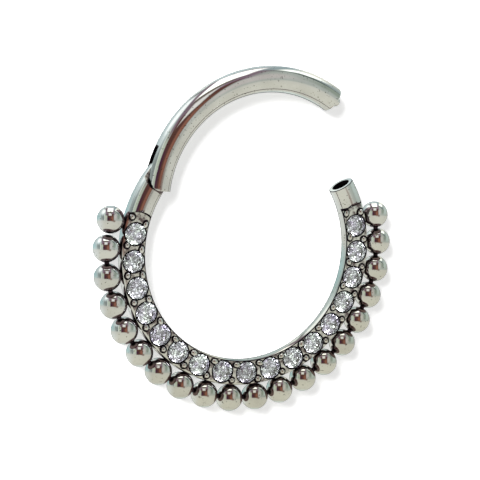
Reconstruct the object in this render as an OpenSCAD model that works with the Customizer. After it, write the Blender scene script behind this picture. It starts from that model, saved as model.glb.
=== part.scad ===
// Hinged septum ring, shown open: a stone-set lower band with a row of balls soldered round it,
// and a plain wire arc that swings on a pin and clicks into the band's hollow end.
// It lies on its side on the balls. +Z is up and is the way the stones face, +Y is towards the arc.
// The origin is under the middle of the open ring, on the surface it lies on.
// Angles are counted round the eye's centre from +X, anticlockwise, with the arc closed.

/* [Wire] */
// Inner diameter of the closed ring
eye_d = 10; // [9.6:0.1:10.6]
// Diameter of the round wire
wire_d = 1.2; // [1.2:0.02:1.3]

/* [Row of balls] */
// Diameter of a ball
ball_d = 1.23; // [1.15:0.01:1.26]
// Number of balls
ball_count = 20; // [12:2:20]
// Angle from one ball to the next
ball_pitch = 10.84; // [10.8:0.02:11.2]
// Width of the solder between a ball and the wire
solder_d = 0.34; // [0.24:0.02:0.5]
// Width of the solder between two balls
ball_neck_d = 0.22; // [0.16:0.02:0.3]

/* [Stones] */
// Diameter of a stone at its girdle
stone_d = 0.97; // [0.85:0.01:0.98]
// Number of stones
stone_count = 17; // [9:2:17]
// Angle from one stone to the next
stone_pitch = 12.49; // [12.3:0.01:12.55]
// Angle of the middle of the row of stones
stone_row_angle = 270.8; // [270:0.1:271.2]
// Height of the milled bed above the middle of the wire
bed_z = 0.27; // [0.24:0.01:0.28]
// Gap between a stone and its seat
seat_gap = 0.015; // [0.012:0.001:0.02]
// Angle where the bed starts, at the hinge's side
bed_start = 160.4; // [158:0.1:161]
// Angle where the bed ends, below the hollow end
bed_end = 381.3; // [381:0.1:382]

/* [Grains] */
// Diameter of the grains at the outer edge of the bed
outer_grain_d = 0.27; // [0.2:0.01:0.28]
// Diameter of the grains at the inner edge of the bed
inner_grain_d = 0.23; // [0.16:0.01:0.24]
// Angle by which the two grains of a pair stand apart
grain_slant = 1.6; // [0:0.1:1.8]

/* [Hinge] */
// Angle that the arc is swung open
open_turn = 24.5; // [0:0.5:45]
// Distance of the pin from the eye's centre, beyond the middle of the wire
pin_out = 0.15; // [0.1:0.01:0.16]
// Angle of the pin
pin_angle = 140.84; // [140.5:0.02:141.2]
// Diameter of the pin
pin_d = 0.4; // [0.3:0.02:0.42]
// Angle of the shoulder where the arc's cheeks meet the band
shoulder_angle = 149.1; // [148.8:0.1:149.4]
// Radius of the cheeks' rounded outer corner
cheek_corner_r = 0.57; // [0.56:0.01:0.58]
// Width of the slot between the cheeks
slot_w = 0.4; // [0.34:0.02:0.44]
// Distance of the slot's floor from the pin
slot_floor_d = 0.52; // [0.51:0.01:0.56]
// Direction from the pin to the slot's floor
slot_floor_turn = 4; // [2:0.5:6]
// Radius of the tongue's round end
tongue_r = 0.45; // [0.42:0.01:0.46]

/* [Catch] */
// Angle of the hollow end of the band
tube_end_angle = 31.6; // [31:0.1:32]
// Diameter of the bore in the hollow end
bore_d = 0.85; // [0.8:0.01:0.86]
// Depth of the bore
bore_depth = 0.8; // [0.5:0.05:0.85]
// Diameter of the nub on the tip of the arc
nub_d = 0.5; // [0.4:0.02:0.52]
// Length of the nub
nub_length = 0.26; // [0.24:0.01:0.28]
// Width of the broken edge on the tip of the arc
tip_edge = 0.1; // [0.04:0.01:0.12]

/* [Hidden] */
$fn = 64;
wire_r = wire_d / 2;
ball_r = ball_d / 2;
stone_r = stone_d / 2;
pin_r = pin_d / 2;
nub_r = nub_d / 2;
mid_r = eye_d / 2 + wire_r;
outer_r = mid_r + wire_r;
over = 0.3;

// How far a ball sinks into the wire where it is soldered
ball_sink = 0.015;
ball_circle_r = outer_r + ball_r - ball_sink;
ball_start = 270 - (ball_count - 1) / 2 * ball_pitch;
// The first and the second ball have no solder between them
first_necked_ball = 1;
neck_reach = ball_r * 0.8;

stone_start = stone_row_angle - (stone_count - 1) / 2 * stone_pitch;
girdle_z = bed_z - 0.005;
girdle_h = 0.03;
crown_h = stone_d * 0.15;
pavilion_h = stone_d * 0.43;
table_r = stone_r * 0.57;
star_r = stone_r * 0.76;
lower_r = stone_r * 0.3;
// Turn of each stone in its seat against the last one
stone_turn = 17;
seat_r = stone_r + seat_gap;
seat_shelf_z = girdle_z - girdle_h - seat_gap;
seat_tip_z = girdle_z - girdle_h - pavilion_h - 3 * seat_gap;
seat_tip_r = 0.04;
outer_grain_r = mid_r + 0.35;
inner_grain_r = mid_r - 0.36;

// Clearance of the hinge's sliding faces, and between closed faces
hinge_gap = 0.02;
close_gap = 0.03;
pin_hole_gap = 0.01;
pin_circle_r = mid_r + pin_out;
pin_at = polar(pin_circle_r, pin_angle);
corner_circle_r = mid_r + 0.05;
// How far the rounded corner's circle would reach past the cheeks' flat end, so that they meet at an edge
corner_reach = 0.02;
corner_angle = shoulder_angle - asin((cheek_corner_r - corner_reach) / corner_circle_r);
tongue_w = slot_w - 2 * hinge_gap;
tongue_inner_angle = pin_angle + 1.3;

tip_angle = tube_end_angle + close_gap / mid_r * 180 / PI;
nub_circle_r = mid_r + 0.03;
tube_edge = 0.04;

// The arc's own centre once it is open, which sets how far the ring reaches towards +Y
open_centre_y = pin_at.y - sin(open_turn) * pin_at.x - cos(open_turn) * pin_at.y;
reach_up = open_centre_y + outer_r;
reach_down = ball_circle_r * cos(ball_pitch / 2) + ball_r;
lay = [0, (reach_down - reach_up) / 2, ball_r];

function polar(r, a) = [r * cos(a), r * sin(a)];
function stone_name(i) = str("stone_", i < 10 ? "0" : "", i);

// A stretch of the ring's round wire
module wire(from, to)
    rotate([0, 0, from])
        rotate_extrude(angle = to - from)
            translate([mid_r, 0])
                circle(r = wire_r);

// Turns a shape that points along +Z to lie along the wire, pointing clockwise
module along_wire(r, a)
    translate([r * cos(a), r * sin(a), 0])
        rotate([90, 0, a])
            children();

// The collar that breaks the edge of a cut wire's end, with the end at z = 0
module edge_cut(edge, into)
    rotate_extrude()
        polygon([
            [wire_r - edge, 0],
            [wire_r + over, into * (edge + over)],
            [wire_r + over, -into * over],
            [wire_r - edge, -into * over]
        ]);

// Swings a closed-position shape open about the pin
module swing()
    translate([pin_at.x, pin_at.y, 0])
        rotate([0, 0, open_turn])
            translate([-pin_at.x, -pin_at.y, 0])
                children();

// Area that the arc's cheeks take up on the band, grown by the closing gap
module cheek_area()
    union() {
        translate(polar(corner_circle_r, corner_angle))
            circle(r = cheek_corner_r + close_gap);
        polygon([
            polar(mid_r - 2 * wire_r, shoulder_angle + close_gap / mid_r * 180 / PI),
            polar(corner_circle_r, shoulder_angle + close_gap / mid_r * 180 / PI),
            polar(corner_circle_r, corner_angle),
            polar(mid_r + 2 * wire_r, corner_angle),
            polar(mid_r + 2 * wire_r, pin_angle - 15),
            polar(mid_r - 2 * wire_r, pin_angle - 15)
        ]);
    }

// Area beyond the cheeks' rounded outer corner
module corner_waste()
    difference() {
        polygon([
            polar(corner_circle_r, corner_angle),
            polar(corner_circle_r, shoulder_angle + 2),
            polar(mid_r + 2 * wire_r, shoulder_angle + 2),
            polar(mid_r + 2 * wire_r, corner_angle)
        ]);
        translate(polar(corner_circle_r, corner_angle))
            circle(r = cheek_corner_r);
    }

// Outline of the tongue: a round eye about the pin on a neck that runs into the band
module tongue_area()
    union() {
        translate(pin_at)
            circle(r = tongue_r);
        polygon([
            polar(mid_r - 2 * wire_r, tongue_inner_angle),
            polar(mid_r + 2 * wire_r, pin_angle),
            polar(mid_r + 2 * wire_r, shoulder_angle + 2),
            polar(mid_r - 2 * wire_r, shoulder_angle + 2)
        ]);
    }

// What is cut from the wire to leave the shoulder and the flat tongue that the arc's cheeks straddle
module hinge_cut() {
    for (side = [0, 1])
        mirror([0, 0, side])
            translate([0, 0, tongue_w / 2])
                linear_extrude(height = wire_r + over)
                    cheek_area();
    translate([0, 0, -slot_w / 2])
        linear_extrude(height = slot_w)
            difference() {
                cheek_area();
                tongue_area();
            }
    translate([pin_at.x, pin_at.y, -wire_r])
        cylinder(r = pin_r + hinge_gap, h = wire_d);
}

// The band's wire with its hinge end, its milled bed and its hollow end
module band_wire()
    difference() {
        wire(pin_angle - 8, tube_end_angle + 360);
        hinge_cut();
        rotate([0, 0, bed_start])
            rotate_extrude(angle = bed_end - bed_start)
                translate([mid_r - wire_r - over, bed_z])
                    square([wire_d + 2 * over, wire_r]);
        along_wire(mid_r, tube_end_angle)
            translate([0, 0, -over])
                cylinder(r = bore_d / 2, h = bore_depth + over);
        along_wire(mid_r, tube_end_angle)
            edge_cut(tube_edge, 1);
    }

// The cut for one stone: a shelf for its girdle and a cone for its pavilion
module seat() {
    translate([0, 0, seat_shelf_z])
        cylinder(r = seat_r, h = wire_r);
    translate([0, 0, seat_tip_z])
        cylinder(r1 = seat_tip_r, r2 = seat_r, h = seat_shelf_z - seat_tip_z);
}

// Two grains raised from the bed between neighbouring stones
module grain_pair(a) {
    translate([outer_grain_r * cos(a - grain_slant / 2), outer_grain_r * sin(a - grain_slant / 2), bed_z])
        sphere(r = outer_grain_d / 2);
    translate([inner_grain_r * cos(a + grain_slant / 2), inner_grain_r * sin(a + grain_slant / 2), bed_z])
        sphere(r = inner_grain_d / 2);
}

// One ball with the solder that joins it to the wire
module soldered_ball(a)
    rotate([0, 0, a]) {
        translate([ball_circle_r, 0, 0])
            sphere(r = ball_r);
        translate([outer_r - 0.12, 0, 0])
            rotate([0, 90, 0])
                cylinder(r = solder_d / 2, h = ball_r);
    }

// Solder between one ball and the next
module ball_neck(a)
    translate([ball_circle_r * cos(a), ball_circle_r * sin(a), 0])
        rotate([0, 0, a + ball_pitch / 2])
            rotate([-90, 0, 0])
                translate([0, 0, neck_reach])
                    cylinder(r = ball_neck_d / 2, h = 2 * ball_circle_r * sin(ball_pitch / 2) - 2 * neck_reach);

// The lower half of the ring: wire, tongue, balls, solder and grains, all one piece
module beaded_band()
    color("silver")
        translate(lay)
            union() {
                difference() {
                    band_wire();
                    for (i = [0:stone_count - 1])
                        rotate([0, 0, stone_start + i * stone_pitch])
                            translate([mid_r, 0, 0])
                                seat();
                }
                for (i = [0:ball_count - 1])
                    soldered_ball(ball_start + i * ball_pitch);
                for (i = [first_necked_ball:ball_count - 2])
                    ball_neck(ball_start + i * ball_pitch);
                for (i = [0:stone_count])
                    grain_pair(stone_start + (i - 0.5) * stone_pitch);
            }

// The plain arc, with its slotted end, the pin's hole and the nub that enters the hollow end
module closing_arc()
    color("lightgray")
        translate(lay)
            swing()
                union() {
                    difference() {
                        wire(tip_angle, shoulder_angle);
                        translate([0, 0, -wire_r - over])
                            linear_extrude(height = wire_d + 2 * over)
                                corner_waste();
                        translate([pin_at.x, pin_at.y, -slot_w / 2])
                            rotate([0, 0, slot_floor_turn])
                                translate([slot_floor_d - 3, -3, 0])
                                    cube([3, 6, slot_w]);
                        translate([pin_at.x, pin_at.y, -wire_r - over])
                            cylinder(r = pin_r + pin_hole_gap, h = wire_d + 2 * over);
                        along_wire(mid_r, tip_angle)
                            edge_cut(tip_edge, -1);
                    }
                    along_wire(nub_circle_r, tip_angle)
                        nub();
                }

// The nub: a short round stub with a domed end, rooted inside the wire
module nub()
    rotate_extrude()
        intersection() {
            translate([0, -over])
                square([nub_r, over + nub_length]);
            translate([0, nub_length - nub_r])
                union() {
                    circle(r = nub_r);
                    translate([0, -over])
                        square([nub_r, over]);
                }
        }

// The hinge pin, filed flush with the wire at both ends
module hinge_pin()
    color("gray")
        translate(lay)
            swing()
                intersection() {
                    wire(pin_angle - 6, pin_angle + 6);
                    translate([pin_at.x, pin_at.y, -wire_r - over])
                        cylinder(r = pin_r, h = wire_d + 2 * over);
                }

// Height of a crown or pavilion facet above its girdle edge, at distance r along its own line
function facet_z(height, inner_r, r) = height * (stone_r - r) / (stone_r - inner_r);

// A round brilliant: table, 8 stars, 8 kites, 16 upper and 16 lower halves, 8 pavilion mains
function ring_points(r, z, count, start) =
    [for (k = [0:count - 1]) [r * cos(start + k * 360 / count), r * sin(start + k * 360 / count), z]];

module brilliant() {
    table = ring_points(table_r, crown_h, 8, 0);
    stars = ring_points(star_r, facet_z(crown_h, table_r, star_r * cos(22.5)), 8, 22.5);
    girdle_top = ring_points(stone_r, 0, 16, 0);
    girdle_low = ring_points(stone_r, -girdle_h, 16, 0);
    lowers = ring_points(lower_r, -girdle_h - facet_z(pavilion_h, 0, lower_r * cos(22.5)), 8, 22.5);
    culet = [[0, 0, -girdle_h - pavilion_h]];
    points = concat(table, stars, girdle_top, girdle_low, lowers, culet);
    star0 = 8;
    top0 = 16;
    low0 = 32;
    lower0 = 48;
    tip = 56;
    faces = concat(
        [[for (k = [7:-1:0]) k]],
        [for (k = [0:7]) [k, (k + 1) % 8, star0 + k]],
        [for (k = [0:7]) [k, star0 + k, top0 + 2 * k]],
        [for (k = [0:7]) [k, top0 + 2 * k, star0 + (k + 7) % 8]],
        [for (k = [0:7]) [star0 + k, top0 + 2 * k + 1, top0 + 2 * k]],
        [for (k = [0:7]) [star0 + k, top0 + (2 * k + 2) % 16, top0 + 2 * k + 1]],
        [for (j = [0:15]) [top0 + j, top0 + (j + 1) % 16, low0 + (j + 1) % 16, low0 + j]],
        [for (k = [0:7]) [low0 + 2 * k, low0 + 2 * k + 1, lower0 + k]],
        [for (k = [0:7]) [low0 + 2 * k + 1, low0 + (2 * k + 2) % 16, lower0 + k]],
        [for (k = [0:7]) [tip, low0 + 2 * k, lower0 + k]],
        [for (k = [0:7]) [tip, lower0 + (k + 7) % 8, low0 + 2 * k]]
    );
    polyhedron(points = points, faces = faces, convexity = 2);
}

// One stone in its seat
module stone(i)
    color("lavender")
        translate(lay)
            rotate([0, 0, stone_start + i * stone_pitch])
                translate([mid_r, 0, girdle_z])
                    rotate([0, 0, i * stone_turn])
                        brilliant();

beaded_band();
closing_arc();
hinge_pin();
for (i = [1:stone_count]) stone(i - 1);
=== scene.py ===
"""Looks of a hinged septum ring: polished steel wire, soldered balls and clear brilliant stones."""

import logging
import math
import random
from dataclasses import dataclass, field
from enum import Enum

import bmesh
import bpy
from bmesh.types import BMEdge, BMesh, BMVert
from bpy.types import Material, Node, NodeSocket, NodeTree, Object
from mathutils import Matrix, Vector

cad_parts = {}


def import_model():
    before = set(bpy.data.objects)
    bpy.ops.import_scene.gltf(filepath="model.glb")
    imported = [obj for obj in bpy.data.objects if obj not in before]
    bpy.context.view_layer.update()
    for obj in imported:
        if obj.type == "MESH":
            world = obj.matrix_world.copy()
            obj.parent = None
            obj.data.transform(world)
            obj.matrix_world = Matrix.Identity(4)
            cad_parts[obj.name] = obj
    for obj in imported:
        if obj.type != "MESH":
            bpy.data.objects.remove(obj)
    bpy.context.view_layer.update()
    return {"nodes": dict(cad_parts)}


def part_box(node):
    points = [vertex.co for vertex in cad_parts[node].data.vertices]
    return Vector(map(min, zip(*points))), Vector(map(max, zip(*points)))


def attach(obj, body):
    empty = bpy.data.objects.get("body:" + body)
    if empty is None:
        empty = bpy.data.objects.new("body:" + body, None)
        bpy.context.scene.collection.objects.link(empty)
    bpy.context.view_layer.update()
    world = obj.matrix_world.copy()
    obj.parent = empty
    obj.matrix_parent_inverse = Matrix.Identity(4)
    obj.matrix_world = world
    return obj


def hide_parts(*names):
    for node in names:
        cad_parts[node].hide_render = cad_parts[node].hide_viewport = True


LOG = logging.getLogger("septum_ring")
MM = 0.001
THROUGH = 1.0  # millimetres above and below the wire's middle plane: clear through the wire
HAIR = 1e-5  # millimetres between corners that are one and the same

Outline = list[tuple[float, float]]
Source = NodeSocket | float | tuple


def linear(hex_colour: str) -> tuple[float, float, float, float]:
    """Turns an sRGB hex colour into linear light.

    Args:
        hex_colour: Six hex digits after a hash, such as "#c8cac6".

    Returns:
        Red, green, blue and an alpha of 1.
    """
    parts = [int(hex_colour[i:i + 2], 16) / 255 for i in (1, 3, 5)]
    rgb = [p / 12.92 if p <= 0.04045 else ((p + 0.055) / 1.055) ** 2.4 for p in parts]
    return (rgb[0], rgb[1], rgb[2], 1.0)


def add_node(
    tree: NodeTree, kind: str, settings: dict | None = None, inputs: dict | None = None,
) -> Node:
    """Adds one shader node with its settings and what goes into it.

    Args:
        tree: The node tree that gets the node.
        kind: The node's Blender type name, without the ShaderNode that all of them start with.
        settings: Property values, by property name.
        inputs: The output socket or constant for each input socket, by its name or number.

    Returns:
        The new node.
    """
    node = tree.nodes.new("ShaderNode" + kind)
    for name, value in (settings or {}).items():
        setattr(node, name, value)
    for name, value in (inputs or {}).items():
        if isinstance(value, NodeSocket):
            tree.links.new(value, node.inputs[name])
        else:
            node.inputs[name].default_value = value
    return node


def calculate(tree: NodeTree, operation: str, first: Source, second: Source) -> NodeSocket:
    """Works out a number from two others with a Math node."""
    return add_node(tree, "Math", {"operation": operation}, {0: first, 1: second}).outputs[0]


def measure(tree: NodeTree, operation: str, vector: Source, other: Source = (0, 0, 0)) -> NodeSocket:
    """Measures a vector's LENGTH, or its DOT_PRODUCT with another."""
    node = add_node(tree, "VectorMath", {"operation": operation}, {0: vector, 1: other})
    return node.outputs["Value"]


def smooth_rise(tree: NodeTree, value: Source, start: float, end: float) -> NodeSocket:
    """A soft rise from 0, where the value is at its start, to 1 at its end."""
    inputs = {"Value": value, "From Min": start, "From Max": end}
    return add_node(tree, "MapRange", {"interpolation_type": "SMOOTHSTEP"}, inputs).outputs[0]


def noise(
    tree: NodeTree, place: NodeSocket, size_mm: float, detail: float, rough: float = 0.5,
) -> NodeSocket:
    """A soft noise of a size in millimetres."""
    inputs = {"Vector": place, "Scale": 1 / (size_mm * MM), "Detail": detail, "Roughness": rough}
    return add_node(tree, "TexNoise", inputs=inputs).outputs["Fac"]


def blend(
    tree: NodeTree, under: Source, over: Source, share: Source = 1.0, how: str = "MULTIPLY",
) -> NodeSocket:
    """Lays one colour over another.

    Args:
        tree: The node tree.
        under: The colour below.
        over: The colour on top.
        share: How much of it shows.
        how: MULTIPLY to tint what lies below, MIX to cover it.

    Returns:
        The new colour.
    """
    # a Mix node set to colours takes them at sockets 6 and 7, and gives the result at 2
    inputs = {0: share, 6: under, 7: over}
    return add_node(tree, "Mix", {"data_type": "RGBA", "blend_type": how}, inputs).outputs[2]


def ramp(tree: NodeTree, value: Source, stops: tuple[tuple[float, str], ...]) -> NodeSocket:
    """Turns a value into a colour.

    Args:
        tree: The node tree.
        value: The value's output socket.
        stops: Position and hex colour of each stop, two or more, from low to high.

    Returns:
        The colour.
    """
    node = add_node(tree, "ValToRGB", inputs={"Fac": value})
    elements = node.color_ramp.elements
    while len(elements) < len(stops):
        elements.new(1.0)
    for element, (position, colour) in zip(elements, stops):
        element.position = position
        element.color = linear(colour)
    return node.outputs["Color"]


def start_material(name: str) -> tuple[Material, NodeTree, NodeSocket]:
    """Starts a material.

    Args:
        name: The material's name.

    Returns:
        The material, its node tree and the place on the object, in metres.
    """
    material = bpy.data.materials.new(name)
    material.use_nodes = True
    tree = material.node_tree
    tree.nodes.clear()
    return material, tree, add_node(tree, "TexCoord").outputs["Object"]


def end_material(material: Material, inputs: dict) -> Material:
    """Ends a material with its shader.

    Args:
        material: The material.
        inputs: What goes into its Principled shader, by socket name.

    Returns:
        The same material.
    """
    shader = add_node(material.node_tree, "BsdfPrincipled", inputs=inputs)
    add_node(material.node_tree, "OutputMaterial", inputs={"Surface": shader.outputs["BSDF"]})
    return material


class Face(Enum):
    """Which of the steel finishes a face has, by its place in the pieces' material lists."""

    POLISHED = 0
    MILLED = 1
    SHADED_HOLLOW = 2
    # the hollows' finish: holes, slots, grooves, pits and seats, dark as painted shade
    SOLDER = 3


@dataclass(frozen=True)
class SteelFinish:
    """Surgical stainless steel, worked in one of several ways.

    Attributes:
        name: The material's name.
        bright: Colour of the clean metal; in the hollows' finish, painted shade.
        dull: Colour where the surface is handled, stained or heat tinted; in the milled and the hollow
            finishes it is painted shade.
        low_rough: Roughness of the smoothest places.
        high_rough: Roughness of the dullest places.
        patch_mm: Size of the slow patches of tint and dulling.
        mark_mm: Spacing of the fine tool or polishing marks.
        mark_depth_mm: How deep the marks are drawn.
        patch_edge: Noise values between which bright turns to dull.
        speck: How dark the tiny pits and dust specks are against the metal.
        warm: Colour of a warmer painted reflection laid over the metal towards the balls; none when empty.
    """

    name: str
    bright: str
    dull: str
    low_rough: float
    high_rough: float
    patch_mm: float
    mark_mm: float
    mark_depth_mm: float
    patch_edge: tuple[float, float] = (0.38, 0.72)
    speck: str = "#8d8a84"
    warm: str = ""

    SPECK_EDGE = (0.66, 0.71)  # noise values between which clean metal turns to a speck
    HAZE_EDGE = (0.35, 0.75)  # noise values between which the smoothest places turn to the dullest
    WARM_REFLECTION_WAY = (0.4, -1.0, 0.0)  # from the eye's centre towards the side where the painted warm reflection is strongest
    WARM_REFLECTION_MM = (-2.0, 8.0)  # how far along that way the painted warm reflection starts and is whole

    def make(self) -> Material:
        """Builds the material.

        Returns:
            The finished material.
        """
        material, tree, place = start_material(self.name)
        patches = noise(tree, place, self.patch_mm, detail=3.0, rough=0.55)
        marks = noise(tree, place, self.mark_mm, detail=2.0)
        clean, stained = self.patch_edge
        colour = ramp(tree, patches, ((clean, self.bright), (stained, self.dull)))
        # painted reflection: a warmer cast is laid on the metal towards the balls
        if self.warm:
            starts, whole = self.WARM_REFLECTION_MM
            along = measure(tree, "DOT_PRODUCT", place, self.WARM_REFLECTION_WAY)
            warm_reflection_share = smooth_rise(tree, along, starts * MM, whole * MM)
            colour = blend(tree, colour, linear(self.warm), warm_reflection_share)
        clean, pitted = self.SPECK_EDGE
        colour = blend(tree, colour, ramp(tree, marks, ((clean, "#ffffff"), (pitted, self.speck))))
        smooth, hazy = self.HAZE_EDGE
        haze = add_node(
            tree, "MapRange",
            inputs={
                "Value": patches,
                "From Min": smooth,
                "From Max": hazy,
                "To Min": self.low_rough,
                "To Max": self.high_rough,
            },
        )
        relief = add_node(tree, "Bump", inputs={"Height": marks, "Distance": self.mark_depth_mm * MM})
        return end_material(
            material,
            {
                "Base Color": colour,
                "Metallic": 1.0,
                "Roughness": haze.outputs["Result"],
                "Normal": relief.outputs["Normal"],
            },
        )


# Tumbled and buffed by hand: mirror bright, with faint haze where it was handled, and a painted warm
# reflection towards the balls
POLISHED_STEEL = SteelFinish(
    "polished_steel", "#d3d4d3", "#c3c3c1", low_rough=0.045, high_rough=0.10,
    patch_mm=1.6, mark_mm=0.09, mark_depth_mm=0.00035, warm="#f6f4ec",
)
# Cut with a small end mill for the stones: satin, with random dark purple-brown patches that are painted
# shade between the stones
MILLED_STEEL = SteelFinish(
    "milled_steel", "#d6d6d1", "#6d6163", low_rough=0.16, high_rough=0.30,
    patch_mm=0.23, mark_mm=0.05, mark_depth_mm=0.006, patch_edge=(0.43, 0.63),
)
# Inside of drilled holes, sawn slots, grooves, pits and seats: dull, and dark purple as painted shade in
# these hollows
HOLLOW_SHADE_STEEL = SteelFinish(
    "hollow_steel_painted_shade", "#3c3540", "#1d1820", low_rough=0.40, high_rough=0.60,
    patch_mm=0.3, mark_mm=0.06, mark_depth_mm=0.004,
)
# Solder at the balls: darkened by heat, with a purple cast
SOLDER = SteelFinish(
    "dark_solder", "#3a2c34", "#191218", low_rough=0.25, high_rough=0.45,
    patch_mm=0.2, mark_mm=0.08, mark_depth_mm=0.004,
)


@dataclass(frozen=True)
class Zirconia:
    """Clear cubic zirconia, brighter than glass, with painted sparkle: pale and dark spangles, dark lines
    and mint and lilac casts stand in for the light off its facets.

    Attributes:
        name: The material's name.
        mint: The greener cast, a painted reflection.
        lilac: The redder cast, a painted reflection.
        cast_mm: Size of the patches of each cast.
        spangle_mm: Size of the painted spangles of facet light.
        line: Colour of the painted dark line round each spangle.
        line_share: Width of that line, as a share of the spangle's size.
        ior: Its refractive index.
    """

    name: str = "clear_zirconia"
    mint: str = "#f4faf4"
    lilac: str = "#d6cbe4"
    cast_mm: float = 0.5
    spangle_mm: float = 0.12
    line: str = "#2f2c33"
    line_share: float = 0.22
    ior: float = 2.15

    CAST_EDGE = (0.45, 0.60)  # noise values between which the mint cast turns to lilac
    # colours of the painted spangles, from dark facets to white glints
    SPANGLES = ((0.0, "#34313a"), (0.30, "#8c8b8e"), (0.5, "#eef2ee"), (1.0, "#ffffff"))

    def make(self) -> Material:
        """Builds the material.

        Returns:
            The finished material.
        """
        material, tree, place = start_material(self.name)
        cast = noise(tree, place, self.cast_mm, detail=1.0)
        mint, lilac = self.CAST_EDGE
        tint = ramp(tree, cast, ((mint, self.mint), (lilac, self.lilac)))
        # painted sparkle: the spangles and their dark lines stand in for light and shade off the facets
        cells = {"Vector": place, "Scale": 1 / (self.spangle_mm * MM)}
        spangle = add_node(tree, "TexVoronoi", inputs=cells).outputs["Color"]
        edge = add_node(tree, "TexVoronoi", {"feature": "DISTANCE_TO_EDGE"}, cells).outputs["Distance"]
        line = ramp(tree, edge, ((0.0, self.line), (self.line_share, "#ffffff")))
        broken = blend(tree, ramp(tree, spangle, self.SPANGLES), line)
        colour = blend(tree, broken, tint)
        return end_material(
            material,
            {"Base Color": colour, "Roughness": 0.0, "IOR": self.ior, "Transmission Weight": 1.0},
        )


@dataclass(frozen=True)
class PaleFloor:
    """A plain white light table, matt.

    Attributes:
        name: The material's name.
        colour: Its colour.
        rough: Its roughness.
        glow: Strength of its own glow, which keeps the shadows pale.
    """

    name: str = "pale_floor"
    colour: str = "#f4f4f4"
    rough: float = 0.9
    glow: float = 0.62

    def make(self) -> Material:
        """Builds the material.

        Returns:
            The finished material.
        """
        material, *_ = start_material(self.name)
        white = linear(self.colour)
        return end_material(
            material,
            {
                "Base Color": white,
                "Roughness": self.rough,
                "Emission Color": white,
                "Emission Strength": self.glow,
            },
        )


@dataclass(frozen=True)
class RingSizes:
    """The ring's driving sizes, in millimetres and degrees round the eye's centre, with the arc closed.

    Names ending in _d are diameters, in _r radii, in _w widths and in _angle places round the eye. The
    bed is the flat that is milled for the stones, and the tube the hollow end that takes the nub.
    """

    eye_d: float = 10.0
    wire_d: float = 1.2
    ball_d: float = 1.23
    ball_count: int = 20
    ball_pitch: float = 10.84
    ball_sink: float = 0.015
    solder_d: float = 0.34
    ball_neck_d: float = 0.22
    stone_d: float = 0.97
    stone_count: int = 17
    stone_pitch: float = 12.49
    stone_row_angle: float = 270.8
    bed_z: float = 0.27
    girdle_sink: float = 0.035
    pavilion_share: float = 0.43
    seat_gap: float = 0.015
    bed_start: float = 160.4
    bed_end: float = 381.3
    open_turn: float = 24.5
    pin_out: float = 0.15
    pin_angle: float = 140.84
    pin_d: float = 0.4
    shoulder_angle: float = 149.1
    cheek_corner_r: float = 0.57
    corner_reach: float = 0.02
    corner_out: float = 0.05
    slot_w: float = 0.4
    slot_floor_d: float = 0.52
    slot_floor_turn: float = 4.0
    tongue_r: float = 0.45
    hinge_gap: float = 0.02
    close_gap: float = 0.03
    tube_end_angle: float = 31.6
    bore_d: float = 0.85
    bore_depth: float = 0.8
    nub_d: float = 0.5
    nub_length: float = 0.36
    nub_root: float = 0.3
    nub_out: float = 0.03
    tip_edge: float = 0.07

    @property
    def wire_r(self) -> float:
        """Radius of the wire."""
        return self.wire_d / 2

    @property
    def mid_r(self) -> float:
        """Radius of the wire's middle line."""
        return self.eye_d / 2 + self.wire_r

    @property
    def outer_r(self) -> float:
        """Outer radius of the wire ring."""
        return self.mid_r + self.wire_r

    @property
    def ball_r(self) -> float:
        """Radius of a ball."""
        return self.ball_d / 2

    @property
    def ball_circle_r(self) -> float:
        """Radius of the circle through the balls' centres."""
        return self.outer_r + self.ball_r - self.ball_sink

    @property
    def ball_start(self) -> float:
        """Angle of the first ball."""
        return 270 - (self.ball_count - 1) / 2 * self.ball_pitch

    @property
    def stone_start(self) -> float:
        """Angle of the first stone."""
        return self.stone_row_angle - (self.stone_count - 1) / 2 * self.stone_pitch

    @property
    def seat_r(self) -> float:
        """Radius of a stone's seat."""
        return self.stone_d / 2 + self.seat_gap

    @property
    def tongue_w(self) -> float:
        """Thickness of the hinge's tongue."""
        return self.slot_w - 2 * self.hinge_gap

    @property
    def pin_at(self) -> Vector:
        """The pin's axis."""
        return polar(self.mid_r + self.pin_out, self.pin_angle)

    @property
    def corner_circle_r(self) -> float:
        """Distance of the cheeks' corner centre from the eye's centre."""
        return self.mid_r + self.corner_out

    @property
    def corner_angle(self) -> float:
        """Angle of the cheeks' corner centre."""
        reach = (self.cheek_corner_r - self.corner_reach) / self.corner_circle_r
        return self.shoulder_angle - math.degrees(math.asin(reach))

    @property
    def tip_angle(self) -> float:
        """Angle of the arc's tip."""
        return self.tube_end_angle + self.turn_of(self.close_gap)

    def turn_of(self, length: float) -> float:
        """Degrees that a length along the wire's middle line takes up."""
        return math.degrees(length / self.mid_r)


def polar(radius: float, angle: float) -> Vector:
    """A point in the wire's middle plane, at an angle in degrees round the eye's centre."""
    turn = math.radians(angle)
    return Vector((radius * math.cos(turn), radius * math.sin(turn), 0.0))


def turn_z(angle: float) -> Matrix:
    """A turn about +Z by an angle in degrees."""
    return Matrix.Rotation(math.radians(angle), 4, "Z")


def quarter(axis: str, quarters: int = 1) -> Matrix:
    """Some quarter turns about an axis."""
    return Matrix.Rotation(quarters * math.pi / 2, 4, axis)


def along_wire(radius: float, angle: float) -> Matrix:
    """Places a shape that points along +Z on the wire, pointing clockwise.

    Args:
        radius: Distance of its axis from the eye's centre.
        angle: Angle of its start round the eye's centre.

    Returns:
        The placing transform.
    """
    return Matrix.Translation(polar(radius, angle)) @ turn_z(angle) @ quarter("X")


def off_centre(angle: float, radius: float, height: float = 0.0) -> Matrix:
    """A place round the eye's centre, with +X pointing away from it and +Z up."""
    return turn_z(angle) @ Matrix.Translation((radius, 0, height))


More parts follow.
